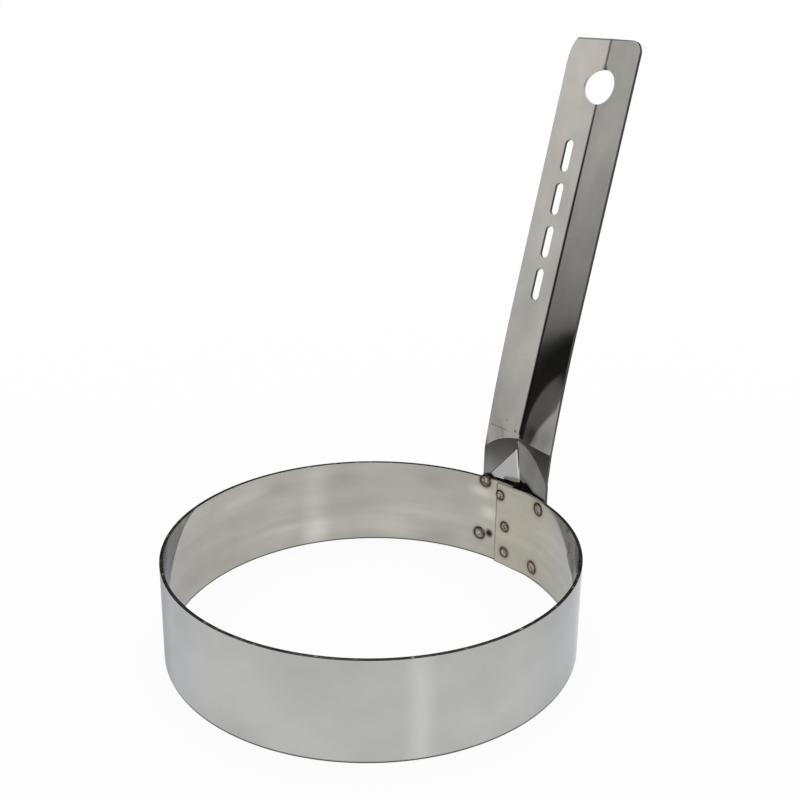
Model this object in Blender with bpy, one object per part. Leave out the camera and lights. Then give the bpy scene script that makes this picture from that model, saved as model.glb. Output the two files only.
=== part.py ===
"""Egg ring: a rolled strip of steel, lapped and spot welded, with an upright folded handle.

Lengths are metres and angles radians, with +Z up. The handle rises at the back, at +Y, and +X is
the right-hand side of someone who looks at the handle across the ring. The origin lies under the
middle of the whole object, on the surface that the ring stands on.
"""

import math

import bmesh
import bpy
from mathutils import Matrix, Vector

# Fits
FIT_GAP = 0.0003
CUT_OVERRUN = 0.0020
MERGE_DISTANCE = 0.000001

# Rolled band
RING_RADIUS = 0.0500
RING_HEIGHT = 0.0240
BAND_THICKNESS = 0.0008
SEAM_FROM_MIDDLE = 0.0056
LAP_LENGTH = 0.0048
JOGGLE_LENGTH = 0.0075
BAND_STEPS = 144
JOGGLE_STEPS = 8
LAP_STEPS = 4

# Handle strip
STRIP_WIDTH = 0.0227
STRIP_THICKNESS = 0.0008
HANDLE_LENGTH = 0.1065
HANDLE_LEAN = math.radians(15.35)
FOLD_DEPTH_AT_TOP = 0.0020
FOLD_DEPTH_AT_BEND = 0.0014
EDGE_CURVE_LENGTH = 0.0352
EDGE_CURVE_RADIUS = 0.4000
LEFT_CORNER_RADIUS = 0.0042
RIGHT_CORNER_RADIUS = 0.0036
CORNER_STEPS = 5
CURVE_STEPS = 6
COLUMN_STEPS = 3
RUN_DIGITS = 7

# Pressed bend above the rim: heights are shares of the bend's own height, from the rim up
BEND_HEIGHT = 0.0140
BEND_INSET = 0.0002
PYRAMID_INSET = 0.0006
PYRAMID_TIP_SHARE = 0.80
RIGHT_FACET_TOP_SHARE = 0.96
RIGHT_FACET_END_SHARE = 0.31
CREASE_DROP_LEFT_SHARE = 0.41
CREASE_DROP_RIGHT_SHARE = 0.09
CREASE_STRAIGHT_SHARE = 0.40
KNEE_HEIGHT_SHARE = 0.10
LEFT_HEEL_HEIGHT_SHARE = 0.085
RIGHT_HEEL_HEIGHT_SHARE = 0.02
HEEL_END_HEIGHT_SHARE = -0.02
LEFT_HEEL_SHARE = 0.81
RIGHT_HEEL_SHARE = 0.93

# Foot of the handle, outside the band
FOOT_FOLD_DEPTH = 0.0023
FOOT_CLEARANCE = 0.0012

# Hanging hole and plain slots
HANG_HOLE_RADIUS = 0.0045
HANG_HOLE_FROM_TOP = 0.0124
SLOT_COUNT = 4
SLOT_WIDTH = 0.0024
SLOT_LENGTH = 0.0085
SLOT_PITCH = 0.0115
SLOT_ROW_FROM_TOP = 0.0309
SLOT_LINE_SHARE = 0.46
ROUND_STEPS = 32

# Spot welds
WELD_RADIUS = 0.00085
WELD_DISH = 0.00008
WELD_DISH_SHARE = 0.6
WELD_STEPS = 20
UPPER_LEFT_EDGE_WALL = 0.00025
UPPER_LEFT_RIM_WALL = 0.00045
UPPER_RIGHT_EDGE_WALL = 0.00025
UPPER_RIGHT_RIM_WALL = 0.00145
LOWER_LEFT_EDGE_OVERHANG = 0.00010
LOWER_LEFT_FOOT_WALL = 0.00440
LOWER_RIGHT_EDGE_WALL = 0.00170
LOWER_RIGHT_FOOT_WALL = 0.00135
SEAM_WALL = 0.00025
LAP_END_WALL = 0.00025
LAP_TOP_WELD_SHARE = 0.862
LAP_MIDDLE_WELD_SHARE = 0.493
LAP_BOTTOM_WELD_SHARE = 0.175

# Values that follow from the sizes above
HALF_WIDTH = STRIP_WIDTH / 2
SEAT_RADIUS = RING_RADIUS + FIT_GAP
LAYER_STEP = BAND_THICKNESS + FIT_GAP
SEAM_ANGLE = -SEAM_FROM_MIDDLE / RING_RADIUS
LAP_ANGLE = LAP_LENGTH / RING_RADIUS
JOGGLE_ANGLE = JOGGLE_LENGTH / RING_RADIUS
FOOT_SLOPE = FOOT_FOLD_DEPTH / HALF_WIDTH
KNEE_RADIUS = SEAT_RADIUS / math.cos(math.atan(FOOT_SLOPE))
WELD_HOLE_RADIUS = WELD_RADIUS + FIT_GAP
LEAN_UP = Vector((0, math.sin(HANDLE_LEAN), math.cos(HANDLE_LEAN)))
LEAN_OUT = Vector((0, math.cos(HANDLE_LEAN), -math.sin(HANDLE_LEAN)))


def clear_scene():
    """Removes every object, so that the script can be run again in the same file."""
    for thing in list(bpy.data.objects):
        bpy.data.objects.remove(thing, do_unlink=True)


def steel(name, colour, roughness):
    """A plain metal for one sub-part."""
    material = bpy.data.materials.new(name)
    material.use_nodes = True
    shader = material.node_tree.nodes["Principled BSDF"]
    shader.inputs["Base Color"].default_value = (*colour, 1.0)
    shader.inputs["Metallic"].default_value = 1.0
    shader.inputs["Roughness"].default_value = roughness
    return material


def add_object(name, bm, material, parent):
    """Turns a bmesh into an object that hangs on the part's origin."""
    mesh = bpy.data.meshes.new(name)
    bm.to_mesh(mesh)
    bm.free()
    mesh.shade_smooth()
    mesh.set_sharp_from_angle(angle=math.radians(30))
    thing = bpy.data.objects.new(name, mesh)
    bpy.context.collection.objects.link(thing)
    thing.parent = parent
    if material:
        mesh.materials.append(material)
    return thing


def add_cutter(name, bm, parent):
    """A closed guide shape, used only by a Boolean."""
    cutter = add_object(name, bm, None, parent)
    cutter.hide_render = True
    cutter.display_type = "WIRE"
    return cutter


def cut(target, cutter):
    """Takes the cutter's shape out of the target."""
    boolean = target.modifiers.new("Cut " + cutter.name, "BOOLEAN")
    boolean.operation = "DIFFERENCE"
    boolean.solver = "EXACT"
    boolean.object = cutter


def thicken(target, thickness, side):
    """Gives a formed sheet its thickness, on the side of its normals (1) or behind them (-1)."""
    solidify = target.modifiers.new("Sheet", "SOLIDIFY")
    solidify.thickness = thickness
    solidify.offset = side
    solidify.use_even_offset = True


def draw_sheet(rows):
    """Starts a sheet from its first row of points and draws it out, one row at a time."""
    bm = bmesh.new()
    front = [bm.verts.new(point) for point in rows[0]]
    edges = [bm.edges.new(pair) for pair in zip(front, front[1:])]
    for row in rows[1:]:
        # The new row starts where the last one lies, so both are matched by their place.
        places = {vert.co.copy().freeze(): index for index, vert in enumerate(front)}
        grown = bmesh.ops.extrude_edge_only(bm, edges=edges)["geom"]
        new_verts = [item for item in grown if isinstance(item, bmesh.types.BMVert)]
        edges = [item for item in grown if isinstance(item, bmesh.types.BMEdge)
                 and item.verts[0] in new_verts and item.verts[1] in new_verts]
        front = sorted(new_verts, key=lambda vert: places[vert.co.copy().freeze()])
        for vert, point in zip(front, row):
            vert.co = point
    bmesh.ops.remove_doubles(bm, verts=bm.verts[:], dist=MERGE_DISTANCE)
    bm.normal_update()
    return bm


def around(radius, angle, height):
    """A point on a circle about the ring's axis; the angle runs from the handle to the right."""
    return Vector((radius * math.sin(angle), radius * math.cos(angle), height))


def joggle(angle):
    """How far the band's outer face is stepped in, at an angle from the handle."""
    run = (angle - SEAM_ANGLE - LAP_ANGLE) / JOGGLE_ANGLE
    if run <= 0:
        return LAYER_STEP
    if run >= 1:
        return 0
    return LAYER_STEP * (1 + math.cos(math.pi * run)) / 2


def band_angles():
    """Stations along the strip, from its inner end, once round, to its outer end over the lap."""
    lap_end = SEAM_ANGLE + LAP_ANGLE
    joggle_end = lap_end + JOGGLE_ANGLE
    full_turn = 2 * math.pi
    stations = [SEAM_ANGLE + LAP_ANGLE * step / LAP_STEPS for step in range(LAP_STEPS)]
    stations += [lap_end + JOGGLE_ANGLE * step / JOGGLE_STEPS for step in range(JOGGLE_STEPS + 1)]
    turn = [full_turn * step / BAND_STEPS for step in range(BAND_STEPS)]
    stations += [angle for angle in turn if joggle_end < angle < full_turn + SEAM_ANGLE]
    stations += [full_turn + SEAM_ANGLE + LAP_ANGLE * step / LAP_STEPS for step in range(LAP_STEPS + 1)]
    return stations


def build_band(material, parent):
    """The rolled strip: its right-hand end lies inside, and its left-hand end laps over it."""
    stations = band_angles()
    rows = []
    for height in (0, RING_HEIGHT):
        rows.append([around(RING_RADIUS - joggle(angle), angle, height) for angle in stations])
    band = add_object("ring_band", draw_sheet(rows), material, parent)
    thicken(band, BAND_THICKNESS, band_inside(band))
    return band


def band_inside(band):
    """Which side of the band's faces looks at the ring's axis."""
    face = band.data.polygons[0]
    return -1 if face.normal.dot(Vector((face.center.x, face.center.y, 0))) > 0 else 1


def column_shares():
    """Where the columns of the handle's sheet lie, as shares of half its width."""
    steps = [step / COLUMN_STEPS for step in range(1, COLUMN_STEPS + 1)]
    left = [-LEFT_HEEL_SHARE * step for step in reversed(steps)]
    right = [RIGHT_HEEL_SHARE * step for step in steps]
    return [-1] + left + [0] + right + [1]


def edge_depth(run):
    """How far the handle's edges stand in front of its fold, at a run along the fold."""
    share = run / HANDLE_LENGTH
    depth = FOLD_DEPTH_AT_BEND + (FOLD_DEPTH_AT_TOP - FOLD_DEPTH_AT_BEND) * share
    bent = max(EDGE_CURVE_LENGTH - run, 0)
    return depth - bent * bent / (2 * EDGE_CURVE_RADIUS)


def handle_point(across, run):
    """A point of the leaning part's inner face, across from the fold and up along it."""
    apex = Vector((0, SEAT_RADIUS - BEND_INSET, RING_HEIGHT + BEND_HEIGHT))
    fold = apex + LEAN_UP * run
    point = fold - LEAN_OUT * edge_depth(run) * abs(across) / HALF_WIDTH
    point.x = across
    return point


def foot_point(across, height):
    """A point of the foot's inner face: two upright flanges that just clear the band."""
    return Vector((across, KNEE_RADIUS - abs(across) * FOOT_SLOPE, height))


def half_width_at(run, side):
    """Half the strip's width on one side, drawn in by the rounded corner at the top."""
    radius = RIGHT_CORNER_RADIUS if side > 0 else LEFT_CORNER_RADIUS
    into_corner = max(run - (HANDLE_LENGTH - radius), 0)
    return HALF_WIDTH - radius + math.sqrt(max(radius * radius - into_corner * into_corner, 0))


def crease_run(share):
    """Where the bend's crease crosses a column; it drops towards the edges, more on the left."""
    if share > 0:
        return -BEND_HEIGHT * CREASE_DROP_RIGHT_SHARE * share
    curve = CREASE_STRAIGHT_SHARE * abs(share) + (1 - CREASE_STRAIGHT_SHARE) * abs(share) ** 3
    return -BEND_HEIGHT * CREASE_DROP_LEFT_SHARE * curve


def bend_level(share):
    """A height within the pressed bend."""
    return RING_HEIGHT + BEND_HEIGHT * share


def heel(share):
    """The corner of the knee's line on the side of a column."""
    if share > 0:
        return foot_point(RIGHT_HEEL_SHARE * HALF_WIDTH, bend_level(RIGHT_HEEL_HEIGHT_SHARE))
    return foot_point(-LEFT_HEEL_SHARE * HALF_WIDTH, bend_level(LEFT_HEEL_HEIGHT_SHARE))


def knee_line(share):
    """The line where the upright foot ends, from the knee to a heel and on to the edge."""
    corner = heel(share)
    knee = foot_point(0, bend_level(KNEE_HEIGHT_SHARE))
    heel_share = abs(corner.x) / HALF_WIDTH
    if abs(share) <= heel_share:
        return knee.lerp(corner, abs(share) / heel_share)
    end = foot_point(math.copysign(HALF_WIDTH, share), bend_level(HEEL_END_HEIGHT_SHARE))
    return corner.lerp(end, (abs(share) - heel_share) / (1 - heel_share))


def pyramid_line(share):
    """The line between the pressed pyramid's inner and outer facets: straight down to the heel on
    the left, and on the right an arch that ends at the strip's edge."""
    tip = Vector((0, SEAT_RADIUS - PYRAMID_INSET, bend_level(PYRAMID_TIP_SHARE)))
    if share > 0:
        point = tip.lerp(foot_point(HALF_WIDTH, tip.z), share)
        fall = (RIGHT_FACET_TOP_SHARE - RIGHT_FACET_END_SHARE) * share ** 2
        point.z = bend_level(RIGHT_FACET_TOP_SHARE - fall)
        return point
    if abs(share) >= LEFT_HEEL_SHARE:
        return knee_line(share)
    return tip.lerp(heel(share), abs(share) / LEFT_HEEL_SHARE)


def handle_rows():
    """Rows of the handle's inner face, from the foot's lower edge to the top."""
    shares = column_shares()
    rows = [[foot_point(share * HALF_WIDTH, FOOT_CLEARANCE) for share in shares]]
    rows.append([knee_line(share) for share in shares])
    rows.append([pyramid_line(share) for share in shares])
    for step in range(CURVE_STEPS + 1):
        row = []
        for share in shares:
            start = crease_run(share)
            run = start + (EDGE_CURVE_LENGTH - start) * step / CURVE_STEPS
            row.append(handle_point(share * HALF_WIDTH, run))
        rows.append(row)
    for run in corner_runs():
        rows.append([handle_point(share * half_width_at(run, share), run) for share in shares])
    return rows


def corner_runs():
    """Runs of the rows that follow both rounded corners, up to the top edge."""
    runs = []
    for radius in (LEFT_CORNER_RADIUS, RIGHT_CORNER_RADIUS):
        for step in range(CORNER_STEPS + 1):
            turn = math.pi / 2 * step / CORNER_STEPS
            runs.append(HANDLE_LENGTH - radius + radius * math.sin(turn))
    return sorted({round(run, RUN_DIGITS) for run in runs})


def lean_frame(across, run):
    """A frame on the handle: X across, Y up along the fold, Z along the sheet's inward normal."""
    frame = Matrix((Vector((1, 0, 0)), LEAN_UP, -LEAN_OUT)).transposed().to_4x4()
    frame.translation = handle_point(across, run)
    return frame


def round_cutter(radius, stretch, length, steps):
    """A round pin, or a long round-ended one when it is stretched."""
    bm = bmesh.new()
    bmesh.ops.create_cone(bm, cap_ends=True, segments=steps, radius1=radius, radius2=radius, depth=length)
    for vert in bm.verts:
        if abs(vert.co.y) > MERGE_DISTANCE:
            vert.co.y += math.copysign(stretch / 2, vert.co.y)
    return bm


def build_handle(material, parent):
    """The folded strip, with its hanging hole and its row of plain slots."""
    handle = add_object("handle", draw_sheet(handle_rows()), material, parent)
    face = handle.data.polygons[0]
    thicken(handle, STRIP_THICKNESS, 1 if face.normal.y > 0 else -1)
    reach = 2 * (STRIP_THICKNESS + FOLD_DEPTH_AT_TOP + CUT_OVERRUN)
    hole = round_cutter(HANG_HOLE_RADIUS, 0, reach, ROUND_STEPS)
    hole.transform(lean_frame(0, HANDLE_LENGTH - HANG_HOLE_FROM_TOP))
    cut(handle, add_cutter("hanging_hole", hole, parent))
    for index in range(SLOT_COUNT):
        run = HANDLE_LENGTH - SLOT_ROW_FROM_TOP - index * SLOT_PITCH
        slot = round_cutter(SLOT_WIDTH / 2, SLOT_LENGTH - SLOT_WIDTH, reach, ROUND_STEPS)
        slot.transform(lean_frame(-SLOT_LINE_SHARE * HALF_WIDTH, run))
        cut(handle, add_cutter("slot_%d" % (index + 1), slot, parent))
    return handle


def weld_places():
    """Each weld's angle and height, and the radii of the two faces that it shows on."""
    foot_face = SEAT_RADIUS + STRIP_THICKNESS
    band_face = RING_RADIUS - BAND_THICKNESS
    places = {}
    upper = RING_HEIGHT - WELD_HOLE_RADIUS
    lower = FOOT_CLEARANCE + WELD_HOLE_RADIUS
    reach = HALF_WIDTH - WELD_HOLE_RADIUS
    # The lower left weld straddles the foot's edge; the others lie just inside it.
    corners = {
        "handle_upper_left": (UPPER_LEFT_EDGE_WALL - reach, upper - UPPER_LEFT_RIM_WALL),
        "handle_upper_right": (reach - UPPER_RIGHT_EDGE_WALL, upper - UPPER_RIGHT_RIM_WALL),
        "handle_lower_left": (-HALF_WIDTH - LOWER_LEFT_EDGE_OVERHANG, lower + LOWER_LEFT_FOOT_WALL),
        "handle_lower_right": (reach - LOWER_RIGHT_EDGE_WALL, lower + LOWER_RIGHT_FOOT_WALL),
    }
    for name, (across, height) in corners.items():
        places[name] = (math.asin(across / SEAT_RADIUS), height, band_face, foot_face)
    seam_side = WELD_HOLE_RADIUS + SEAM_WALL - SEAM_FROM_MIDDLE
    end_side = LAP_LENGTH - SEAM_FROM_MIDDLE - WELD_HOLE_RADIUS - LAP_END_WALL
    lap = {
        "lap_top": (seam_side, LAP_TOP_WELD_SHARE),
        "lap_middle": (end_side, LAP_MIDDLE_WELD_SHARE),
        "lap_bottom": (end_side, LAP_BOTTOM_WELD_SHARE),
    }
    for name, (arc, share) in lap.items():
        places[name] = (arc / RING_RADIUS, RING_HEIGHT * share, band_face - LAYER_STEP, RING_RADIUS)
    return places


def radial_frame(angle, height):
    """A frame whose Z axis points straight out from the ring's axis at an angle and height."""
    out = around(1, angle, 0)
    up = Vector((0, 0, 1))
    frame = Matrix((up.cross(out), up, out)).transposed().to_4x4()
    frame.translation = Vector((0, 0, height))
    return frame


def build_weld(name, place, material, parent):
    """One weld: a short round plug through both sheets, with a shallow electrode dish at each end."""
    angle, height, inner, outer = place
    dish_radius = WELD_RADIUS * WELD_DISH_SHARE
    outline = [
        (0, inner + WELD_DISH),
        (dish_radius, inner + WELD_DISH),
        (WELD_RADIUS, inner),
        (WELD_RADIUS, outer),
        (dish_radius, outer - WELD_DISH),
        (0, outer - WELD_DISH),
    ]
    bm = bmesh.new()
    verts = [bm.verts.new((radius, 0, along)) for radius, along in outline]
    edges = [bm.edges.new(pair) for pair in zip(verts, verts[1:])]
    bmesh.ops.spin(bm, geom=verts + edges, cent=(0, 0, 0), axis=(0, 0, 1), angle=2 * math.pi,
                   steps=WELD_STEPS, use_merge=True)
    bmesh.ops.remove_doubles(bm, verts=bm.verts[:], dist=MERGE_DISTANCE)
    bmesh.ops.recalc_face_normals(bm, faces=bm.faces[:])
    bm.transform(radial_frame(angle, height))
    return add_object("weld_" + name, bm, material, parent)


def weld_hole(name, place, parent):
    """The clearance hole of one weld, through every sheet that the weld joins."""
    angle, height, inner, outer = place
    length = outer - inner + 2 * FIT_GAP
    bm = round_cutter(WELD_HOLE_RADIUS, 0, length, WELD_STEPS)
    bmesh.ops.translate(bm, verts=bm.verts[:], vec=(0, 0, (inner + outer) / 2))
    bm.transform(radial_frame(angle, height))
    return add_cutter("hole_" + name, bm, parent)


def whole_depth_middle():
    """The middle of the whole object from front to back, seen from the ring's axis."""
    back = handle_point(0, HANDLE_LENGTH).y + STRIP_THICKNESS * math.cos(HANDLE_LEAN)
    return (back - RING_RADIUS) / 2


def build():
    """Makes the whole object round the ring's axis, then stands it over its own middle."""
    clear_scene()
    origin = bpy.data.objects.new("ring_axis", None)
    bpy.context.collection.objects.link(origin)
    origin.location = (0, -whole_depth_middle(), 0)

    band = build_band(steel("satin_band", (0.62, 0.62, 0.60), 0.22), origin)
    handle = build_handle(steel("polished_handle", (0.58, 0.57, 0.55), 0.12), origin)
    burnt = steel("burnt_weld", (0.30, 0.22, 0.19), 0.45)
    for name, place in weld_places().items():
        build_weld(name, place, burnt, origin)
        hole = weld_hole(name, place, origin)
        cut(band, hole)
        if name.startswith("handle"):
            cut(handle, hole)


build()
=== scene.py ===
# %% [markdown]
# # A steel egg ring with an upright folded handle
# The real ring is made from two strips of thin stainless steel. One is rolled into a band, lapped and
# spot welded. The other is folded along its middle, pressed to a bend above the rim, punched and spot
# welded to the outside of the band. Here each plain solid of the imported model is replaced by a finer
# one of the same size, and each surface gets a procedural finish.

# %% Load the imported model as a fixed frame
import math

import bmesh
import bpy
from mathutils import Matrix, Vector


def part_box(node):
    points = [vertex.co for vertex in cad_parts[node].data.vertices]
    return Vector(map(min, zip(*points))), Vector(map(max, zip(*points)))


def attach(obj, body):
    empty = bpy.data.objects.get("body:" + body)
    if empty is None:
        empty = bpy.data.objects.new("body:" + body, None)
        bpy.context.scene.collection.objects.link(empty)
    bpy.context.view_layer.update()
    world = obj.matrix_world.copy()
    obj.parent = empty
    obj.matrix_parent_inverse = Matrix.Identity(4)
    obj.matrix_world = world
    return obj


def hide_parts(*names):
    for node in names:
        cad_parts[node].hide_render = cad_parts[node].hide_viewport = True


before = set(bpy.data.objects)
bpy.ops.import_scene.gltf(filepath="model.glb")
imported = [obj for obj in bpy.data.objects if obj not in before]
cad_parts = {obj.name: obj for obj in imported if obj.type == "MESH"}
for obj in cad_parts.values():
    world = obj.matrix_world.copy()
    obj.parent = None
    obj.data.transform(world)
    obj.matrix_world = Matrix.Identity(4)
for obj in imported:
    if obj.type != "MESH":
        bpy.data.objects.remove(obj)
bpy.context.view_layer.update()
print("nodes to dress:", ", ".join(sorted(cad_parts)))

# %% [markdown]
# ## Where everything is measured from
# The pieces are shaped round the ring's axis, with the handle at +Y. The part's own origin lies further
# forward, so each finished mesh is pushed along Y by one known distance. The band's box gives it: the
# ring's front is one radius in front of its axis.

# %% Sizes of the two strips, in metres
RING_RADIUS = 0.0500
RING_HEIGHT = 0.0240
BAND_THICKNESS = 0.0008
SHEET_GAP = 0.0003
SEAM_FROM_MIDDLE = 0.0056
LAP_LENGTH = 0.0048
JOGGLE_LENGTH = 0.0075

STRIP_WIDTH = 0.0227
STRIP_THICKNESS = 0.0008
HANDLE_LENGTH = 0.1065
HANDLE_LEAN = math.radians(15.35)
HALF_WIDTH = STRIP_WIDTH / 2
SEAT_RADIUS = RING_RADIUS + SHEET_GAP
LAYER_STEP = BAND_THICKNESS + 0.00008
SEAM_ANGLE = -SEAM_FROM_MIDDLE / RING_RADIUS

axis_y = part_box("ring_band")[0].y + RING_RADIUS
print("ring axis at y = %.2f mm" % (axis_y * 1000))

# %% [markdown]
# ## The camera
# The rims and the handle's edges, measured in the photograph, gave the lens, the place and the turn used
# here: pan, tilt, and a little roll. So a point of the model falls on the same pixel as in the photograph.


# %% Stand the camera where the photographer stood
def placed(name, data):
    """A new object, linked to the scene."""
    thing = bpy.data.objects.new(name, data)
    bpy.context.scene.collection.objects.link(thing)
    return thing


CAMERA_PLACE = Vector((0.17984, -0.14846, 0.14334))
CAMERA_PAN = math.radians(47.339)
CAMERA_TILT = math.radians(73.088)
CAMERA_ROLL = math.radians(1.186)
LENS_LENGTH = 48.20
LENS_SHIFT = (-0.0375, -0.0625)

camera_data = bpy.data.cameras.new("product_camera")
camera_data.lens = LENS_LENGTH
camera_data.sensor_width = 36
camera_data.shift_x, camera_data.shift_y = LENS_SHIFT
camera_data.clip_start = 0.01
camera = placed("product_camera", camera_data)
turn = Matrix.Rotation(CAMERA_PAN, 4, "Z") @ Matrix.Rotation(CAMERA_TILT, 4, "X")
turn = turn @ Matrix.Rotation(CAMERA_ROLL, 4, "Z")
camera.matrix_world = Matrix.Translation(CAMERA_PLACE + Vector((0, axis_y, 0))) @ turn
bpy.context.scene.camera = camera
print("camera %.0f mm from the ring" % (CAMERA_PLACE.length * 1000))

# %% [markdown]
# ## Small workshop helpers
# A piece is one object at the origin, with its place in its mesh. It rides on the root body's empty, takes
# the place of its node, which is hidden, and gets its finishes as material slots. Its sheared edges are
# eased a little.

# %% Hand a finished mesh over to the frame
SHADED_SHARP = math.radians(38)
SHEARED = math.radians(50)


def hand_over(name, bm, finishes, node):
    bmesh.ops.translate(bm, verts=bm.verts[:], vec=(0, axis_y, 0))
    mesh = bpy.data.meshes.new(name)
    bm.to_mesh(mesh)
    bm.free()
    mesh.shade_smooth()
    mesh.set_sharp_from_angle(angle=SHADED_SHARP)
    for finish in finishes:
        mesh.materials.append(finish)
    piece = placed(name, mesh)
    flats = piece.modifiers.new("Keep flats flat", "WEIGHTED_NORMAL")
    flats.keep_sharp = True
    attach(piece, "root")
    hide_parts(node)
    print("%s: %d faces" % (name, len(mesh.polygons)))
    return piece


def sheared_edges(bm):
    """The edges that are sharper than a bend."""
    bm.normal_update()
    return [edge for edge in bm.edges if len(edge.link_faces) == 2 and edge.calc_face_angle() > SHEARED]


def ease_edges(bm, width):
    """Rounds the sheared edges a little, and gives back the narrow new faces."""
    made = bmesh.ops.bevel(bm, geom=sheared_edges(bm), offset=width, segments=2, profile=0.5,
                           affect="EDGES", material=-1, clamp_overlap=True)
    return made["faces"]


# %% [markdown]
# ## Node helpers
# Each makes one node, fills it in and gives back its output. These do the arithmetic, for the finishes
# and for the room's light.


# %% Helpers that add one node at a time
class Nodes:
    """A node tree under construction."""

    def __init__(self, tree, coordinates):
        self.nodes, self.links = tree.nodes, tree.links
        self.place = self.add("ShaderNodeTexCoord").outputs[coordinates]

    def add(self, kind, **settings):
        node = self.nodes.new(kind)
        for key, value in settings.items():
            setattr(node, key, value)
        return node

    def plug(self, node, values):
        """Fills a node's inputs, by link where the value is an output."""
        for key, value in values.items():
            if isinstance(value, bpy.types.NodeSocket):
                self.links.new(value, node.inputs[key])
            else:
                node.inputs[key].default_value = value
        return node

    def sums(self, operation, first, second=0):
        return self.plug(self.add("ShaderNodeMath", operation=operation), {0: first, 1: second}).outputs[0]

    def times(self, first, second):
        return self.sums("MULTIPLY", first, second)

    def vectors(self, operation, first, second=(0, 0, 0)):
        """Vector arithmetic; a length, a distance or a dot product comes back as a number."""
        node = self.plug(self.add("ShaderNodeVectorMath", operation=operation), {0: first, 1: second})
        return node.outputs["Value" if operation in ("LENGTH", "DISTANCE", "DOT_PRODUCT") else "Vector"]

    def spread(self, value, low, high, to_low, to_high):
        """Maps one range to another, and stops at both ends."""
        node = self.plug(self.add("ShaderNodeMapRange"), {
            "Value": value, "From Min": low, "From Max": high, "To Min": to_low, "To Max": to_high})
        return node.outputs["Result"]

    def limited(self, value, *limits):
        """A value times one spread for each limit."""
        for limit in limits:
            value = self.times(value, self.spread(*limit))
        return value

    def bump_at(self, value, middle, reach):
        """1 where a value is at the middle, falling softly to 0 at its reach."""
        away = self.sums("ABSOLUTE", self.sums("SUBTRACT", value, middle))
        node = self.plug(self.add("ShaderNodeMapRange", interpolation_type="SMOOTHSTEP"), {
            "Value": away, "From Min": 0, "From Max": reach, "To Min": 1, "To Max": 0})
        return node.outputs["Result"]

    def ramp(self, value, stops):
        node = self.plug(self.add("ShaderNodeValToRGB"), {"Fac": value})
        while len(node.color_ramp.elements) < len(stops):
            node.color_ramp.elements.new(0.5)
        for element, (position, colour) in zip(node.color_ramp.elements, stops):
            element.position = position
            element.color = (*colour, 1)
        return node.outputs["Color"]

    def mixed(self, factor, first, second, blend="MIX"):
        node = self.add("ShaderNodeMix", data_type="RGBA", blend_type=blend)
        node.clamp_result = True
        self.plug(node, {0: factor, 6: first, 7: second})
        return node.outputs[2]

    def stained(self, tone, stain):
        """One colour multiplied by another, or by a number."""
        return self.mixed(1, tone, stain, blend="MULTIPLY")


print("node helpers ready")


# %% [markdown]
# ## Recipes for the steel
# Every finish is a Principled metal. Its patterns read Object coordinates, which stay with the steel, as
# distances and angles from the ring's axis.


# %% Helpers that read a place on the steel
class Recipe(Nodes):
    """The nodes of one finish, with its Principled shader ready."""

    def __init__(self, name, colour, roughness):
        self.material = bpy.data.materials.new(name)
        self.material.use_nodes = True
        super().__init__(self.material.node_tree, "Object")
        self.shader = self.nodes["Principled BSDF"]
        self.plug(self.shader, {"Base Color": (*colour, 1), "Metallic": 1, "Roughness": roughness})

    def stretched(self, scale, shift=(0, 0, 0)):
        """Object coordinates, scaled differently along each axis."""
        node = self.plug(self.add("ShaderNodeMapping"), {
            "Vector": self.place, "Scale": scale, "Location": shift})
        return node.outputs["Vector"]

    def noise(self, scale, detail, shift=(0, 0, 0)):
        """Noise with its own number of patches per metre along each axis."""
        node = self.plug(self.add("ShaderNodeTexNoise"), {
            "Vector": self.stretched(scale, shift), "Scale": 1, "Detail": detail, "Roughness": 0.5})
        return node.outputs["Fac"]

    def distance(self, point):
        """The distance to a point that was measured from the ring's axis."""
        return self.vectors("DISTANCE", self.place, (point.x, point.y + axis_y, point.z))

    def nearest(self, points):
        """The distance to the nearest of some points."""
        found = self.distance(points[0])
        for point in points[1:]:
            found = self.sums("MINIMUM", found, self.distance(point))
        return found

    def axes(self):
        """The three coordinates, measured from the ring's axis."""
        from_ring = self.stretched((1, 1, 1), (0, -axis_y, 0))
        return self.plug(self.add("ShaderNodeSeparateXYZ"), {0: from_ring}).outputs

    def turned(self):
        """The angle about the ring's axis, in degrees from the handle to the right."""
        across, along, up = self.axes()
        return self.times(self.sums("ARCTAN2", across, along), 180 / math.pi)

    def bumpy(self, height, strength, distance):
        node = self.plug(self.add("ShaderNodeBump"), {
            "Height": height, "Strength": strength, "Distance": distance})
        self.plug(self.shader, {"Normal": node.outputs["Normal"]})

    def finish(self, colour=None, roughness=None):
        """Links what was mixed to the shader, and gives back the material."""
        for name, value in (("Base Color", colour), ("Roughness", roughness)):
            if value is not None:
                self.plug(self.shader, {name: value})
        return self.material


print("recipes ready")


# %% [markdown]
# ## Where the spot welds are
# Four spot welds hold the handle and three close the lap. Each row of the table is a turn from the
# handle in degrees, a height above the worktop, and how far the two welded faces are from the axis.


# %% List the weld places
def around(radius, angle, height):
    """A point on a circle about the ring's axis; the angle runs from the handle to the right."""
    return Vector((radius * math.sin(angle), radius * math.cos(angle), height))


band_face = RING_RADIUS - BAND_THICKNESS
foot_face = SEAT_RADIUS + STRIP_THICKNESS
lap_face = band_face - LAYER_STEP
WELDS = {
    "handle_upper_left": (-11.55, 0.02295, band_face, foot_face),
    "handle_upper_right": (11.41, 0.02140, band_face, foot_face),
    "handle_lower_left": (-13.16, 0.00675, band_face, foot_face),
    "handle_lower_right": (9.73, 0.00370, band_face, foot_face),
    "lap_top": (-4.81, 0.02069, lap_face, RING_RADIUS),
    "lap_middle": (-2.40, 0.01190, lap_face, RING_RADIUS),
    "lap_bottom": (-2.25, 0.00425, lap_face, RING_RADIUS),
}
MARK_RADII = {"handle": 0.00188, "lap": 0.00156}


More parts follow.
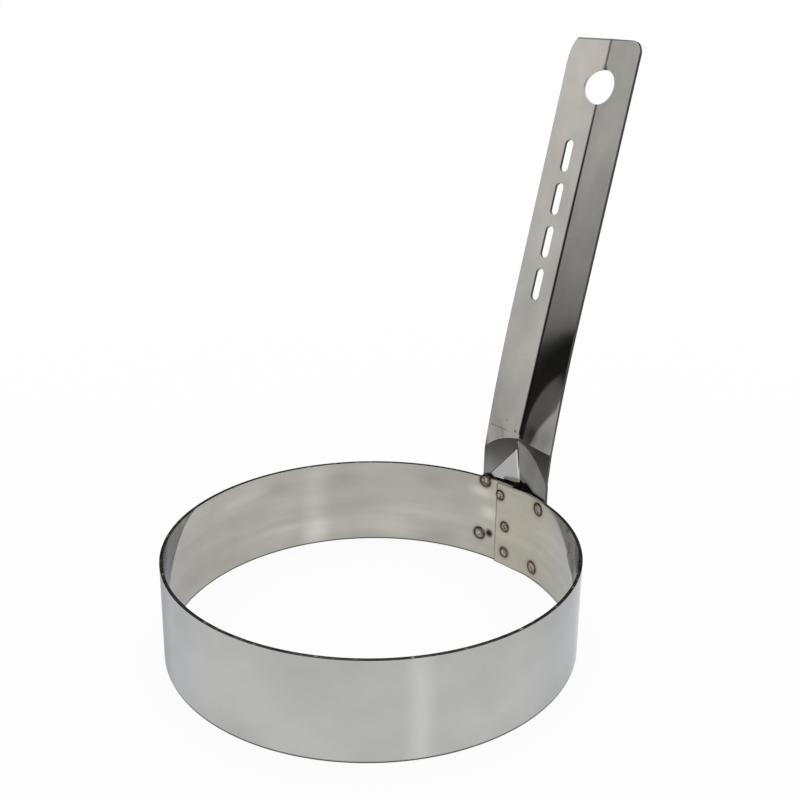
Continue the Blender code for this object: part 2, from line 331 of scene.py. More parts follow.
def mark_points(start):
    """The middles of the marks on both faces, for the welds whose names start alike."""
    places = [place for name, place in WELDS.items() if name.startswith(start)]
    return [around(face, math.radians(turn), up) for turn, up, *faces in places for face in faces]


def from_marks(recipe):
    """How far a place is from the nearest mark: 1 at a mark's rim."""
    near = [recipe.sums("DIVIDE", recipe.nearest(mark_points(start)), radius)
            for start, radius in MARK_RADII.items()]
    return recipe.sums("MINIMUM", *near)


print("%d welds" % len(WELDS))

# %% [markdown]
# ## The band's finish
# Cold-rolled stainless steel keeps a bright but not perfect face, with soft clouds where it was wiped.
# The inner wall is painted a little darker and warmer, as painted shade.

# %% Mix the band's plain steel
BAND_COLOUR = (0.50, 0.50, 0.49)
BAND_ROUGHNESS = 0.13

rolled = Recipe("rolled_band_steel", BAND_COLOUR, BAND_ROUGHNESS)
band_turn = rolled.turned()
band_up = rolled.axes()[2]
clouds = rolled.noise((48, 48, 60), 4)
wiped = rolled.noise((22, 22, 190), 2, (0.4, 1.7, 0))
tone = rolled.ramp(clouds, [
    (0.34, (0.465, 0.465, 0.455)), (0.5, BAND_COLOUR), (0.64, (0.535, 0.535, 0.525))])
from_axis = rolled.vectors("DISTANCE", rolled.stretched((1, 1, 0)), (0, axis_y, 0))
inside = rolled.spread(from_axis, band_face + 0.0001, band_face + 0.0004, 1, 0)
outside = rolled.sums("SUBTRACT", 1, inside)
# Painted shade: the inner wall's colour is multiplied by a darker, warmer grey.
inside_painted_shade = rolled.ramp(wiped, [
    (0.36, (0.82, 0.79, 0.73)), (0.5, (0.87, 0.84, 0.775)), (0.64, (0.93, 0.90, 0.84))])
tone = rolled.mixed(inside, tone, rolled.stained(tone, inside_painted_shade))
print("plain band steel mixed")

# %% [markdown]
# ## Painted reflections on the band's walls
# Soft streaks of reflected light are painted on the rolled inner wall: painted reflections. Each row of the
# table is one: its middle and reach in degrees from the handle, its height and reach in millimetres, and how
# much lighter it is. The last three are darker, as painted shade. The outer wall has one upright painted
# reflection.

# %% Paint the streaks of reflected light
PAINTED_REFLECTION_STREAKS = (
    (-70, 7, 12, 30, 0.20),
    (-40, 12, 12, 30, 0.05),
    (-11, 6, 12, 30, 0.04),
    (-13, 6.5, 19.6, 2.4, 0.32),
    (-9.5, 5, 13.7, 3, 0.40),
    (-38, 18, 9.5, 1.6, 0.09),
    (-80, 24, 6.8, 1.8, 0.12),
    (-97, 14, 19.2, 2.2, 0.14),
    (-70, 7, 3, 6, 0.20),
    (-42, 14, 3.5, 5, 0.16),
    (-18, 9, 3.5, 4.5, 0.13),
    (-60, 9, 20, 5, -0.13),
    (-83, 8, 20, 5, -0.15),
    (-30, 10, 20, 4.5, -0.12))
OUTER_PAINTED_REFLECTION = (118.5, 5)
OUTER_PAINTED_REFLECTION_LIFT = 0.18

# Painted reflections: each streak lightens the wall's colour, and the darker rows paint shade.
painted_reflections = rolled.times(rolled.times(outside, rolled.bump_at(band_turn, *OUTER_PAINTED_REFLECTION)), OUTER_PAINTED_REFLECTION_LIFT)
for middle, reach, height, tall, lift in PAINTED_REFLECTION_STREAKS:
    painted_streak = rolled.times(rolled.bump_at(band_turn, middle, reach),
                          rolled.bump_at(band_up, height / 1000, tall / 1000))
    painted_streak = rolled.times(painted_streak, rolled.times(inside, lift))
    painted_reflections = rolled.sums("ADD", painted_reflections, painted_streak)
tone = rolled.stained(tone, rolled.sums("ADD", painted_reflections, 1))
print("%d streaks inside, 1 outside" % len(PAINTED_REFLECTION_STREAKS))

# %% [markdown]
# ## The seam's painted shadow and the marks of heat
# A dark line is painted beside the end of the inner layer as its shadow, weaker towards the bottom. Round
# each weld the heat left a brown ring, and beside one is a small burn. The wall near the welds is faintly
# straw-coloured. A thin line of painted contact shadow runs round the band's lower edge.

# %% Add the seam's painted shadow, the heat and the painted contact shadow
SEAM_SHADOW_COLOUR = (0.13, 0.125, 0.10, 1)
BURN_PLACE = around(band_face, math.radians(-9.40), 0.0076)
STRAW_PLACE = around(band_face, 0.10, 0.012)

# Painted shadow: a dark line beside the end of the inner layer, weaker towards the bottom.
on_inner_end = rolled.spread(from_axis, lap_face + 0.00043, lap_face + 0.00058, 1, 0)
seam_painted_shadow = rolled.times(on_inner_end, rolled.bump_at(band_turn, math.degrees(SEAM_ANGLE) + 0.12, 0.62))
seam_painted_shadow = rolled.limited(seam_painted_shadow, (band_up, 0.004, 0.019, 0.25, 0.95))
tone = rolled.mixed(seam_painted_shadow, tone, SEAM_SHADOW_COLOUR)
heat_colour = rolled.ramp(rolled.sums("DIVIDE", from_marks(rolled), 2), [
    (0, (0.30, 0.24, 0.20)), (0.49, (0.20, 0.16, 0.13)), (0.55, (0.74, 0.70, 0.64)),
    (0.66, (0.93, 0.91, 0.87)), (0.90, (1, 1, 1))])
burn_colour = rolled.ramp(rolled.times(rolled.distance(BURN_PLACE), 400), [
    (0, (0.05, 0.03, 0.045)), (0.26, (0.08, 0.05, 0.07)), (0.42, (0.50, 0.42, 0.46)), (0.66, (1, 1, 1))])
straw = rolled.ramp(rolled.times(rolled.distance(STRAW_PLACE), 30), [
    (0, (0.97, 0.95, 0.88)), (0.35, (0.98, 0.97, 0.93)), (0.7, (1, 1, 1))])
# Painted contact shadow: the lowest half millimetre of the wall is darkened where the band meets the floor.
painted_contact_shadow = rolled.spread(band_up, 0.00034, 0.00056, 0.22, 1)
for stain in (heat_colour, burn_colour, straw, painted_contact_shadow):
    tone = rolled.stained(tone, stain)
print("seam and heat added")

# %% [markdown]
# ## How the band shines
# The clouds are also a little rougher, and faint lines from the rolls run along the strip. At the two sides,
# where the eye meets the wall at a low angle, the steel is smoother, and its sheen is painted darker there,
# as painted shade on the reflection.

# %% Give the band its roughness and sheen
SHEEN = (0.78, 0.80, 0.84, 1)
LOW_ANGLE_SHADED_SHEEN = (0.36, 0.37, 0.39, 1)

rough = rolled.spread(clouds, 0.35, 0.65, 0.17, 0.10)
smooth_ends = rolled.sums("MAXIMUM", rolled.bump_at(band_turn, 40, 24), rolled.bump_at(band_turn, -122, 26))
rough = rolled.limited(rough, (smooth_ends, 0, 0.7, 1, 0.30))
# Painted shade on the reflection: the sheen's tint is darkened at the two low-angle sides.
right_low_angle_shade = rolled.times(inside, rolled.bump_at(band_turn, 53, 10.5))
left_low_angle_shade = rolled.times(outside, rolled.bump_at(band_turn, -152, 19))
low_angle_painted_shade = rolled.sums("MAXIMUM", right_low_angle_shade, left_low_angle_shade)
sheen_with_painted_shade = rolled.mixed(low_angle_painted_shade, SHEEN, LOW_ANGLE_SHADED_SHEEN)
rolled.plug(rolled.shader, {"Specular Tint": sheen_with_painted_shade})
rolled.bumpy(rolled.noise((14, 14, 2600), 2), 0.12, 0.00002)
band_steel = rolled.finish(tone, rough)
print("band finished")

# %% [markdown]
# ## The sheared rims
# The blade left the rims rough. They are coloured nearly black, with bright specks painted on as glints.
# Beside the handle's foot the rim gets a painted highlight.

# %% Mix the sheared rims' steel
RIM_HIGHLIGHT_PLACE = around(band_face, 0.03, RING_HEIGHT)
RIM_HIGHLIGHT_COLOUR = (0.60, 0.59, 0.57, 1)

sheared = Recipe("sheared_edge_steel", (0.035, 0.034, 0.032), 0.45)
sheared.plug(sheared.shader, {"Specular Tint": (0.30, 0.30, 0.30, 1)})
rim_grain = sheared.noise((420, 420, 1500), 3)
# The brightest stop paints glints as bright specks.
tone = sheared.ramp(rim_grain, [
    (0.3, (0.020, 0.019, 0.018)), (0.62, (0.055, 0.053, 0.050)), (0.74, (0.38, 0.37, 0.36))])
# Painted highlight: the rim near the handle's foot is coloured light.
near_rim_highlight = sheared.spread(sheared.distance(RIM_HIGHLIGHT_PLACE), 0.0085, 0.0115, 1, 0)
tone = sheared.mixed(near_rim_highlight, tone, RIM_HIGHLIGHT_COLOUR)
sheared.bumpy(rim_grain, 0.4, 0.00003)
sheared_steel = sheared.finish(tone)
print("rims mixed")

# %% [markdown]
# ## The handle's finish
# The handle's strip is polished almost to a mirror. Its colour wanders a little between warm and cool
# greys, and the heat of the welds coloured its foot.

# %% Mix the handle's plain steel
HANDLE_COLOUR = (0.57, 0.55, 0.53)
HANDLE_ROUGHNESS = 0.07

mirror = Recipe("polished_handle_steel", HANDLE_COLOUR, HANDLE_ROUGHNESS)
mottle = mirror.noise((110, 110, 70), 3)
tint = mirror.noise((60, 60, 45), 2, (3.1, 0.7, 5.2))
tone = mirror.ramp(mottle, [(0.3, (0.50, 0.49, 0.47)), (0.7, (0.62, 0.60, 0.57))])
cast = mirror.ramp(tint, [(0.3, (1, 0.955, 0.94)), (0.5, (1, 1, 1)), (0.7, (0.965, 0.990, 0.965))])
foot_colour = mirror.ramp(mirror.sums("DIVIDE", from_marks(mirror), 2), [
    (0, (0.30, 0.24, 0.20)), (0.48, (0.12, 0.08, 0.06)), (0.62, (0.35, 0.27, 0.20)), (0.90, (1, 1, 1))])
tone = mirror.stained(mirror.stained(tone, cast), foot_colour)
rough = mirror.spread(mottle, 0.3, 0.75, 0.03, 0.07)
mirror.bumpy(mirror.noise((45, 45, 45), 1), 0.03, 0.0002)
print("plain handle steel mixed")

# %% [markdown]
# ## Pits and a scratch
# Fine pits are thickest near the bend. One thin level scratch crosses the left flange, drawn by three
# distances from its start: along it, beside it, and into the steel.

# %% Wear the handle near its bend
SCUFFED_PLACE = Vector((-0.0060, 0.0500, 0.0410))
SCRATCH_START = Vector((-0.0108, 0.0499, 0.0392))
SCRATCH_LENGTH = 0.0075
SCRATCH_WAY = Vector((1, 0, -0.02)).normalized()
WORN_COLOUR = (0.10, 0.09, 0.085, 1)

pits = mirror.spread(mirror.noise((900, 900, 900), 1), 0.70, 0.76, 0, 1)
near_bend = mirror.spread(mirror.distance(SCUFFED_PLACE), 0.004, 0.012, 1, 0.15)
from_start = mirror.vectors("SUBTRACT", mirror.place, SCRATCH_START + Vector((0, axis_y, 0)))
scratch_run = mirror.vectors("DOT_PRODUCT", from_start, SCRATCH_WAY)
scratch_side = mirror.vectors("DOT_PRODUCT", from_start, SCRATCH_WAY.cross(Vector((0, 1, 0))))
scratch_depth = mirror.vectors("DOT_PRODUCT", from_start, (0, 1, 0))
scratch = mirror.spread(mirror.sums("ABSOLUTE", scratch_side), 0.00004, 0.00013, 1, 0)
scratch = mirror.limited(
    scratch, (scratch_run, 0, 0.0004, 0, 1), (scratch_depth, 0.0004, 0.0006, 1, 0),
    (scratch_run, SCRATCH_LENGTH, SCRATCH_LENGTH - 0.002, 0, 1))
worn = mirror.sums("MAXIMUM", scratch, mirror.times(pits, near_bend))
tone = mirror.mixed(mirror.times(worn, 0.75), tone, WORN_COLOUR)
print("handle worn")

# %% [markdown]
# ## The fold's painted shade
# A dark line is painted in the fold, on the front only, as painted shade in the crease. Another dark line
# runs along the cut top edge.

# %% Draw the dark lines
BEND_HEIGHT = 0.0140
BEND_INSET = 0.0002
FOLD_DEPTH_AT_TOP = 0.0020
LEFT_TOP_DROP = 0.00025
RIGHT_TOP_DROP = 0.0006
FOLD_AT_FLOOR = SEAT_RADIUS - BEND_INSET - math.tan(HANDLE_LEAN) * (RING_HEIGHT + BEND_HEIGHT)
FOLD_TOP = RING_HEIGHT + BEND_HEIGHT + math.cos(HANDLE_LEAN) * HANDLE_LENGTH
LEFT_TOP_SLOPE, RIGHT_TOP_SLOPE = [
    (math.sin(HANDLE_LEAN) * FOLD_DEPTH_AT_TOP - math.cos(HANDLE_LEAN) * drop) / HALF_WIDTH
    for drop in (LEFT_TOP_DROP, RIGHT_TOP_DROP)]
FOLD_SHADE_COLOUR = (0.035, 0.032, 0.03, 1)
TOP_LINE_COLOUR = (0.10, 0.10, 0.095, 1)

across, along, up = mirror.axes()
behind = mirror.sums("SUBTRACT", along, mirror.times(up, math.tan(HANDLE_LEAN)))
# Painted shade in the fold, on its front face.
fold_painted_shade = mirror.limited(
    mirror.bump_at(across, 0, 0.00064), (up, 0.0385, 0.0395, 0, 1),
    (up, 0.0980, 0.1300, 1.55, 0.80), (behind, FOLD_AT_FLOOR + 0.0003, FOLD_AT_FLOOR + 0.0005, 1, 0))
tone = mirror.mixed(fold_painted_shade, tone, FOLD_SHADE_COLOUR)
top_slope = mirror.spread(across, -0.00001, 0.00001, LEFT_TOP_SLOPE, RIGHT_TOP_SLOPE)
top_height = mirror.times(mirror.sums("ABSOLUTE", across), top_slope)
below_top = mirror.sums("SUBTRACT", up, top_height)
top_line = mirror.spread(below_top, FOLD_TOP - 0.00046, FOLD_TOP - 0.00026, 0, 0.80)
tone = mirror.mixed(top_line, tone, TOP_LINE_COLOUR)
print("lines drawn, %.1f mm up to the fold's top" % (FOLD_TOP * 1000))

# %% [markdown]
# ## Painted shade over the crease
# The right flange just above the crease is darkened with painted shade, with one darker painted spot in the
# middle.

# %% Paint shade on the right flange
CREASE_SHADE_PLACE = Vector((0.0080, 0.0505, 0.0400))
PAINTED_SPOT_PLACE = Vector((0.0042, 0.0508, 0.0397))

# Painted shade: the tone is multiplied down round these two places.
crease_painted_shade = mirror.spread(mirror.distance(CREASE_SHADE_PLACE), 0.0010, 0.0075, 0.74, 1)
painted_dark_spot = mirror.spread(mirror.distance(PAINTED_SPOT_PLACE), 0.0012, 0.0042, 0.40, 1)
tone = mirror.stained(tone, mirror.sums("MINIMUM", crease_painted_shade, painted_dark_spot))
handle_steel = mirror.finish(tone, rough)
print("handle finished")

# %% [markdown]
# ## The pressed facets and the cut edges
# The press tool roughened the four facets. Each has its own grey, painted light and shade, and the outer
# ones are painted lighter low down and darker towards the crease. Their ridge has a painted highlight. The
# cut edges are dark. Painted shade darkens the hidden foot and the pyramid's left line, and the top edge
# gets the same near-black.

# %% Mix the facets' steel
OUTER_LEFT_GREY = 0.22
OUTER_MIDDLE_GREY = 0.34
OUTER_RIGHT_GREY = 0.21
INNER_GREY = 0.43
INNER_RIGHT_GREY = 0.21
RIDGE_HIGHLIGHT_COLOUR = (0.64, 0.635, 0.61, 1)
RIDGE_HIGHLIGHT_LINE = (-0.00025, 0.00045)

facet = Recipe("outer_facet_painted_shade_steel", (0.2, 0.2, 0.2), 0.20)
across, along, up = facet.axes()
# Painted light and shade: each outer facet gets its own grey.
left_painted_shade = facet.spread(across, -0.0095, -0.0015, OUTER_LEFT_GREY, OUTER_MIDDLE_GREY)
right_side = facet.spread(across, -0.0002, 0.0002, 0, 1)
tone = facet.mixed(right_side, left_painted_shade, (OUTER_RIGHT_GREY,) * 3 + (1,))
# Painted shade: lighter low down, darker towards the crease above.
tone = facet.stained(tone, facet.spread(up, 0.0270, 0.0370, 1.15, 0.46))
# Painted highlight: a light line along the ridge.
ridge = facet.bump_at(across, *RIDGE_HIGHLIGHT_LINE)
ridge = facet.limited(ridge, (up, 0.0290, 0.0370, 0.95, 0.20))
outer_facet_painted_shade = facet.finish(facet.mixed(ridge, tone, RIDGE_HIGHLIGHT_COLOUR))

facet = Recipe("inner_facet_painted_light_and_shade_steel", (0.4, 0.4, 0.4), 0.17)
across, along, up = facet.axes()
# Painted light and shade: lighter on the left inner facet, darker on the right.
tone = facet.spread(across, 0.0020, 0.0095, INNER_GREY, INNER_RIGHT_GREY)
# Painted highlight: a light line along the ridge.
ridge = facet.bump_at(across, *RIDGE_HIGHLIGHT_LINE)
inner_facet_painted_light_and_shade = facet.finish(facet.mixed(ridge, tone, RIDGE_HIGHLIGHT_COLOUR))
print("facets mixed")

# %% Mix the cut edges and the painted shade
cut_edge_steel = Recipe("cut_edge_steel", (0.11, 0.105, 0.10), 0.35).finish()
# Painted shade: near-black steel for the hidden foot and the pyramid's left line; the top edge takes it too.
shade_paint = Recipe("painted_shade_near_black_steel", (0.02, 0.02, 0.02), 0.8)
shade_paint.plug(shade_paint.shader, {"Specular Tint": (0.05, 0.05, 0.05, 1)})
tone = shade_paint.ramp(shade_paint.noise((900, 900, 900), 2), [
    (0.45, (0.010, 0.009, 0.008)), (0.60, (0.045, 0.040, 0.034)), (0.72, (0.16, 0.15, 0.13))])
painted_shade_steel = shade_paint.finish(tone)
print("edges and soot mixed")

# %% [markdown]
# ## The rolled band
# A flat grid is the strip, and every point of it is moved to its angle round the axis, as rollers do.
# Its right-hand end lies inside, so the radius steps in by one sheet over a short joggle. Its slight
# waves die out towards the lap. Then it gets its thickness, and its sheared rims are eased.

# %% Roll the strip into a ring
BAND_COLUMNS = 732
BAND_ROWS = 10
RIM_EASE = 0.00018
LAP_ANGLE = LAP_LENGTH / RING_RADIUS
JOGGLE_ANGLE = JOGGLE_LENGTH / RING_RADIUS
WAVE_DEPTH = 0.00002
LAP_CALM = 0.2
LAP_FADE = 0.3
RIM_CLEARANCE = 0.00001
END_LIFT = 0.00022
BRIGHT_RIM_REACH = 0.0105
STEEP = 0.7


def joggle(angle):
    """How far the band's outer face is stepped in, at an angle from the handle."""
    run = (angle - SEAM_ANGLE - LAP_ANGLE) / JOGGLE_ANGLE
    run = min(max(run, 0), 1)
    return LAYER_STEP * (1 + math.cos(math.pi * run)) / 2


def hand_rolled(angle, height):
    """The slight waves that the rollers leave, always inwards."""
    wave = math.sin(3 * angle + 0.6) + 0.6 * math.sin(7 * angle + 2) + 0.4 * math.sin(11 * angle)
    return WAVE_DEPTH * (1 + wave / 2) * (0.6 + 0.4 * math.sin(math.pi * height / RING_HEIGHT))


WALL, RIM = range(2)
band = bmesh.new()
bmesh.ops.create_grid(band, x_segments=BAND_COLUMNS, y_segments=BAND_ROWS, size=0.5)
for vert in band.verts:
    angle = SEAM_ANGLE + (vert.co.x + 0.5) * (2 * math.pi + LAP_ANGLE)
    stepped = joggle(angle) / LAYER_STEP
    lowest = RIM_CLEARANCE + END_LIFT * stepped
    height = lowest + (vert.co.y + 0.5) * (RING_HEIGHT - RIM_CLEARANCE - lowest)
    fade = min(1, max(0, (angle - LAP_CALM) / LAP_FADE), max(0, (2 * math.pi - LAP_FADE - angle) / LAP_FADE))
    radius = RING_RADIUS - joggle(angle) - fade * hand_rolled(angle, height)
    vert.co = around(radius, angle, height)
band.normal_update()
if next(iter(band.faces)).normal.dot(around(1, SEAM_ANGLE, 0)) >= 0:
    bmesh.ops.reverse_faces(band, faces=band.faces[:])
bmesh.ops.solidify(band, geom=band.faces[:], thickness=-BAND_THICKNESS)
bmesh.ops.recalc_face_normals(band, faces=band.faces[:])
for face in band.faces:
    out = (face.calc_center_median() * Vector((1, 1, 0))).normalized()
    face.material_index = WALL if abs(face.normal.dot(out)) > STEEP else RIM
band.normal_update()
# Near the handle's foot the inner eased edge takes the wall's polished steel, to catch the light as the
# rim's highlight; other eased faces take the rim's finish.
for face in ease_edges(band, RIM_EASE):
    middle = face.calc_center_median()
    in_rim_highlight = (middle - RIM_HIGHLIGHT_PLACE).length < BRIGHT_RIM_REACH
    looks_in = face.normal.dot(middle) < 0
    face.material_index = WALL if in_rim_highlight and looks_in else RIM
radii = [math.hypot(vert.co.x, vert.co.y) for vert in band.verts]
print("band radii %.2f to %.2f mm" % (min(radii) * 1000, max(radii) * 1000))
hand_over("rolled_band", band, [band_steel, sheared_steel], "ring_band")

# %% [markdown]
# ## The handle's form
# The handle is one folded sheet, described by the lines that the press leaves in it: the foot's lower
# edge, the knee above the rim, the lines of the small pyramid, and the crease below the flanges. Between
# two lines the sheet is nearly straight. Levels and crease drops are parts of the bend's height, shares
# of half the strip's width. An edge is the radius and power of its curve. A corner is its width, its
# length and how round it is. A heel is its share, its level and how far forward it is pushed.

# %% Sizes of the pressed bend
FOLD_DEPTH_AT_BEND = 0.0014
EDGE_CURVE_LENGTH = 0.0352
LEFT_EDGE = (0.48, 1.3)
RIGHT_EDGE = (0.40, 1.7)
LEFT_CORNER = (0.0019, 0.0062, 1.6)
RIGHT_CORNER = (0.0036, 0.0036, 2)
PYRAMID_INSET = 0.0006
PYRAMID_TIP_LEVEL = 0.80
RIGHT_FACET_TOP_LEVEL = 0.96
RIGHT_FACET_END_LEVEL = 0.31
LEFT_CREASE_DROP = 0.41
RIGHT_CREASE_DROP = 0.09
CREASE_STRAIGHTNESS = 0.40
KNEE_LEVEL = 0.05
HEEL_END_LEVEL = -0.02
LEFT_HEEL_SHARE = 0.81
RIGHT_HEEL_SHARE = 0.93
LEFT_HEEL = (-LEFT_HEEL_SHARE, 0.065, 0.00022)
RIGHT_HEEL = (RIGHT_HEEL_SHARE, 0.02, 0.00014)
FOOT_FOLD_DEPTH = 0.0023
FOOT_CLEARANCE = 0.0012
FOLD_RADIUS = 0.00022
FOOT_SLOPE = FOOT_FOLD_DEPTH / HALF_WIDTH
KNEE_RADIUS = SEAT_RADIUS / math.cos(math.atan(FOOT_SLOPE))
LEAN_UP = Vector((0, math.sin(HANDLE_LEAN), math.cos(HANDLE_LEAN)))
LEAN_OUT = Vector((0, math.cos(HANDLE_LEAN), -math.sin(HANDLE_LEAN)))
print("the leaning part is %.0f mm long" % (HANDLE_LENGTH * 1000))

# %% [markdown]
# ## Formulas for the flanges and the foot
# Two numbers give a point of the sheet's inner face: how far it is across the strip, and how far up. The
# flanges lean back from the bend, and the foot is upright.


# %% Formulas for the handle's inner face
def from_fold(across):
    """The distance from the fold, rounded off by the fold's small radius."""
    rounded = math.hypot(across, FOLD_RADIUS) - FOLD_RADIUS
    return rounded * HALF_WIDTH / (math.hypot(HALF_WIDTH, FOLD_RADIUS) - FOLD_RADIUS)


def flange_depth(across, run):
    """How far a flange stands in front of the fold; near the bend its edge curves back."""
    fold_depth = FOLD_DEPTH_AT_BEND + (FOLD_DEPTH_AT_TOP - FOLD_DEPTH_AT_BEND) * run / HANDLE_LENGTH
    bent = max(EDGE_CURVE_LENGTH - run, 0)
    share = from_fold(across) / HALF_WIDTH
    radius, power = RIGHT_EDGE if across > 0 else LEFT_EDGE
    return fold_depth * share - bent * bent / (2 * radius) * share ** power


def flange_point(across, run):
    """A point of the leaning flanges."""
    point = Vector((0, SEAT_RADIUS - BEND_INSET, RING_HEIGHT + BEND_HEIGHT)) + LEAN_UP * run
    point -= LEAN_OUT * flange_depth(across, run)
    point.x = across
    return point


def foot_point(across, height):
    """A point of the foot, two upright flanges that lie against the band."""
    return Vector((across, KNEE_RADIUS - from_fold(across) * FOOT_SLOPE, height))


print("the flange is %.2f mm deep at its top edge" % (flange_depth(HALF_WIDTH, HANDLE_LENGTH) * 1000))

# %% [markdown]
# ## Formulas for the pressed lines
# Each line is a formula of one number, the share of the way across: -1 at the left edge, 0 at the fold
# and 1 at the right edge.


# %% Formulas for the lines of the bend
def bend_level(share):
    """A height within the pressed bend, from the rim up."""
    return RING_HEIGHT + BEND_HEIGHT * share


def half_width_at(run, side):
    """Half the strip's width, drawn in by the rounded corner at the top."""
    width, length, roundness = RIGHT_CORNER if side > 0 else LEFT_CORNER
    into_corner = min(max((run - HANDLE_LENGTH) / length + 1, 0), 1)
    return HALF_WIDTH - width * (1 - (1 - into_corner ** roundness) ** (1 / roundness))


def crease_run(share):
    """Where the crease crosses a column; it drops towards the edges, more on the left."""
    if share > 0:
        return -BEND_HEIGHT * RIGHT_CREASE_DROP * share
    curve = CREASE_STRAIGHTNESS * abs(share) + (1 - CREASE_STRAIGHTNESS) * abs(share) ** 3
    return -BEND_HEIGHT * LEFT_CREASE_DROP * curve


def heel(share):
    """The corner of the knee's line on one side."""
    place, level, forward = RIGHT_HEEL if share > 0 else LEFT_HEEL
    corner = foot_point(place * HALF_WIDTH, bend_level(level))
    corner.y -= forward
    return corner


def knee_line(share):
    """The line where the upright foot ends."""
    corner = heel(share)
    knee = foot_point(0, bend_level(KNEE_LEVEL))
    heel_share = abs(corner.x) / HALF_WIDTH
    if abs(share) <= heel_share:
        point = knee.lerp(corner, abs(share) / heel_share)
    else:
        end = foot_point(math.copysign(HALF_WIDTH, share), bend_level(HEEL_END_LEVEL))
        point = corner.lerp(end, (abs(share) - heel_share) / (1 - heel_share))
    point = foot_point(share * HALF_WIDTH, point.z)
    point.y -= (RIGHT_HEEL if share > 0 else LEFT_HEEL)[2] * min(abs(share) / heel_share, 1)
    return point


def pyramid_line(share):
    """The line between the pyramid's inner and outer facets."""
    tip = Vector((0, SEAT_RADIUS - PYRAMID_INSET, bend_level(PYRAMID_TIP_LEVEL)))
    if share > 0:
        point = tip.lerp(foot_point(HALF_WIDTH, tip.z), from_fold(share * HALF_WIDTH) / HALF_WIDTH)
        point.x = share * HALF_WIDTH
        fall = (RIGHT_FACET_TOP_LEVEL - RIGHT_FACET_END_LEVEL) * share ** 2
        point.z = bend_level(RIGHT_FACET_TOP_LEVEL - fall)
        return point
    if abs(share) >= LEFT_HEEL_SHARE:
        return knee_line(share)
    point = tip.lerp(heel(share), abs(share) / LEFT_HEEL_SHARE)
    rounded = from_fold(share * HALF_WIDTH) / (LEFT_HEEL_SHARE * HALF_WIDTH)
    point.y = tip.lerp(heel(share), rounded).y
    return point


print("the ridge runs from %.1f to %.1f mm up" % (knee_line(0).z * 1000, pyramid_line(0).z * 1000))

# %% [markdown]
# ## The blank's columns
# A flat grid is the blank. A mirror shows every facet, so its columns are close together at the fold,
# where the steel turns. They are listed by their distance from the fold, in metres.

# %% Choose the columns
near_fold = [0, 0.0001, 0.0002, 0.00035, 0.0005, 0.0007, 0.001, 0.0014, 0.002, 0.003]
wide = [0.0042, 0.0055, 0.0068, 0.0080]
left_columns = near_fold + wide + [LEFT_HEEL_SHARE * HALF_WIDTH, 0.0098, 0.0104, 0.0109, HALF_WIDTH]
right_columns = near_fold + wide + [0.0092, RIGHT_HEEL_SHARE * HALF_WIDTH, 0.0109, HALF_WIDTH]
column_shares = [-across / HALF_WIDTH for across in reversed(left_columns)]
column_shares += [across / HALF_WIDTH for across in right_columns[1:]]
print("%d columns" % len(column_shares))

# %% [markdown]
# ## The blank's rows
# The rows follow the pressed lines from the foot to the top. They are close together beside a line, by
# one pleat, and in the rounded corners.

# %% Formulas for the rows
PLEAT = 0.00022
TOO_SHORT = 1e-9


def between(first, second, share, part):
    """A point between two pressed lines: part of the way, or one pleat after or before a line."""
    start, end = first(share), second(share)
    length = (end - start).length
    nudge = min(PLEAT, length / 3) / length if length > TOO_SHORT else 0
    if part == "after":
        return start.lerp(end, nudge)
    if part == "before":
        return end.lerp(start, nudge)
    return start.lerp(end, part)


def foot_edge(share):
    return foot_point(share * HALF_WIDTH, FOOT_CLEARANCE)


def crease_line(share):
    return flange_point(share * HALF_WIDTH, crease_run(share))


def flange_row(step):
    """A row of the flanges, from the crease to where their edges stop curving."""
    def place(share):
        start = crease_run(share)
        return flange_point(share * HALF_WIDTH, start + (EDGE_CURVE_LENGTH - start) * step)
    return place


def upper_row(run):
    """A row of the upper part, with its rounded corners and slightly slanting top."""
    climbed = (run - EDGE_CURVE_LENGTH) / (HANDLE_LENGTH - EDGE_CURVE_LENGTH)

    def place(share):
        drop = abs(share) * (RIGHT_TOP_DROP if share > 0 else LEFT_TOP_DROP)
        return flange_point(share * half_width_at(run, share), run - drop * climbed)
    return place


print("a pleat is %.2f mm wide" % (PLEAT * 1000))


# %% List the rows from the foot to the top
CORNER_STEPS = 9
FLANGE_STEPS = 14
pressed_lines = [foot_edge, knee_line, pyramid_line, crease_line]
form_parts = [0, "after", 0.2, 0.4, 0.6, 0.8, "before"]
row_makers = []
for first, second in zip(pressed_lines, pressed_lines[1:]):
    for part in form_parts:
        row_makers.append(lambda share, a=first, b=second, p=part: between(a, b, share, p))
corner_runs = {round(HANDLE_LENGTH - length + length * math.sin(math.pi / 2 * step / CORNER_STEPS), 7)
               for length in (LEFT_CORNER[1], RIGHT_CORNER[1]) for step in range(CORNER_STEPS + 1)}
row_makers += [flange_row(step) for step in [0, PLEAT / EDGE_CURVE_LENGTH]]
row_makers += [flange_row(step / FLANGE_STEPS) for step in range(1, FLANGE_STEPS + 1)]
straight = HANDLE_LENGTH - LEFT_CORNER[1] - EDGE_CURVE_LENGTH
middle_runs = [EDGE_CURVE_LENGTH + straight * step / FLANGE_STEPS for step in range(1, FLANGE_STEPS)]
row_makers += [upper_row(run) for run in middle_runs + sorted(corner_runs)]
print("%d rows" % len(row_makers))

# %% [markdown]
# ## Pressing the blank
# Every point of the grid knows its column and its row, and moves to its place on the sheet. The faces
# between knee and crease get the facets' finishes, and the narrow row at the pyramid's left line gets
# painted shadow.

